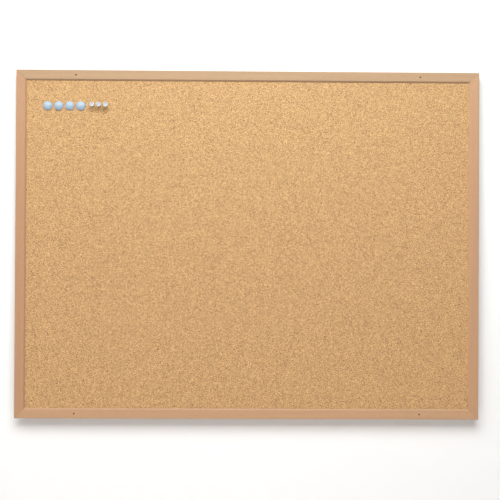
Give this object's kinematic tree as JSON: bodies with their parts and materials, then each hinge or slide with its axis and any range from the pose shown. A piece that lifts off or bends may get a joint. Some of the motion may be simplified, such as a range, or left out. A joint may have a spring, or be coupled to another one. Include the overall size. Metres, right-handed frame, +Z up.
{
  "type": "cork bulletin board",
  "caption": "Wall-hung cork bulletin board with a mitred beech-look frame, screw holes, dome tacks and push pins that pull out.",
  "frame": {"origin": "centre of the flat back face, which lies against the wall", "axes": "+X to the board's right as seen from the front, +Y into the wall, +Z up; the cork faces -Y"},
  "size_m": [1.2, 0.0268, 0.9],
  "materials": {
    "beech_foil": "satin beech-look foil on fibreboard moulding",
    "cork": "matt pressed cork granules",
    "softboard": "matt wood-fibre softboard",
    "hardboard": "brown hardboard, smooth side out",
    "pale_blue_plastic": "opaque moulded plastic, soft gloss",
    "ice_blue_plastic": "slightly milky moulded plastic, high gloss",
    "plated_steel": "bright nickel-plated steel",
    "nail_steel": "plain bright steel"
  },
  "bodies": {
    "board": {"top_rail": "beech_foil", "bottom_rail": "beech_foil", "left_stile": "beech_foil", "right_stile": "beech_foil", "cork_sheet": "cork", "core_panel": "softboard", "backing_board": "hardboard", "v_nail_bottom_left_1": "nail_steel", "v_nail_bottom_left_2": "nail_steel", "v_nail_bottom_right_1": "nail_steel", "v_nail_bottom_right_2": "nail_steel", "v_nail_top_left_1": "nail_steel", "v_nail_top_left_2": "nail_steel", "v_nail_top_right_1": "nail_steel", "v_nail_top_right_2": "nail_steel", "brad_top_1": "nail_steel", "brad_top_2": "nail_steel", "brad_top_3": "nail_steel", "brad_top_4": "nail_steel", "brad_top_5": "nail_steel", "brad_top_6": "nail_steel", "brad_bottom_1": "nail_steel", "brad_bottom_2": "nail_steel", "brad_bottom_3": "nail_steel", "brad_bottom_4": "nail_steel", "brad_bottom_5": "nail_steel", "brad_bottom_6": "nail_steel", "brad_left_1": "nail_steel", "brad_left_2": "nail_steel", "brad_left_3": "nail_steel", "brad_left_4": "nail_steel", "brad_right_1": "nail_steel", "brad_right_2": "nail_steel", "brad_right_3": "nail_steel", "brad_right_4": "nail_steel"},
    "tack_1": {"tack_cap_1": "pale_blue_plastic", "tack_spike_1": "plated_steel"},
    "tack_2": {"tack_cap_2": "pale_blue_plastic", "tack_spike_2": "plated_steel"},
    "tack_3": {"tack_cap_3": "pale_blue_plastic", "tack_spike_3": "plated_steel"},
    "tack_4": {"tack_cap_4": "pale_blue_plastic", "tack_spike_4": "plated_steel"},
    "push_pin_1": {"push_pin_grip_1": "ice_blue_plastic", "push_pin_needle_1": "plated_steel"},
    "push_pin_2": {"push_pin_grip_2": "ice_blue_plastic", "push_pin_needle_2": "plated_steel"},
    "push_pin_3": {"push_pin_grip_3": "ice_blue_plastic", "push_pin_needle_3": "plated_steel"}
  },
  "joints": [
    {"name": "tack_1_pull", "type": "slide", "parent": "board", "child": "tack_1", "axis": [0, -1, 0], "range_m": [0, 0.03]},
    {"name": "tack_2_pull", "type": "slide", "parent": "board", "child": "tack_2", "axis": [0, -1, 0], "range_m": [0, 0.03]},
    {"name": "tack_3_pull", "type": "slide", "parent": "board", "child": "tack_3", "axis": [0, -1, 0], "range_m": [0, 0.03]},
    {"name": "tack_4_pull", "type": "slide", "parent": "board", "child": "tack_4", "axis": [0, -1, 0], "range_m": [0, 0.03]},
    {"name": "push_pin_1_pull", "type": "slide", "parent": "board", "child": "push_pin_1", "axis": [0, -1, 0], "range_m": [0, 0.03]},
    {"name": "push_pin_2_pull", "type": "slide", "parent": "board", "child": "push_pin_2", "axis": [0, -1, 0], "range_m": [0, 0.03]},
    {"name": "push_pin_3_pull", "type": "slide", "parent": "board", "child": "push_pin_3", "axis": [0, -1, 0], "range_m": [0, 0.03]}
  ]
}
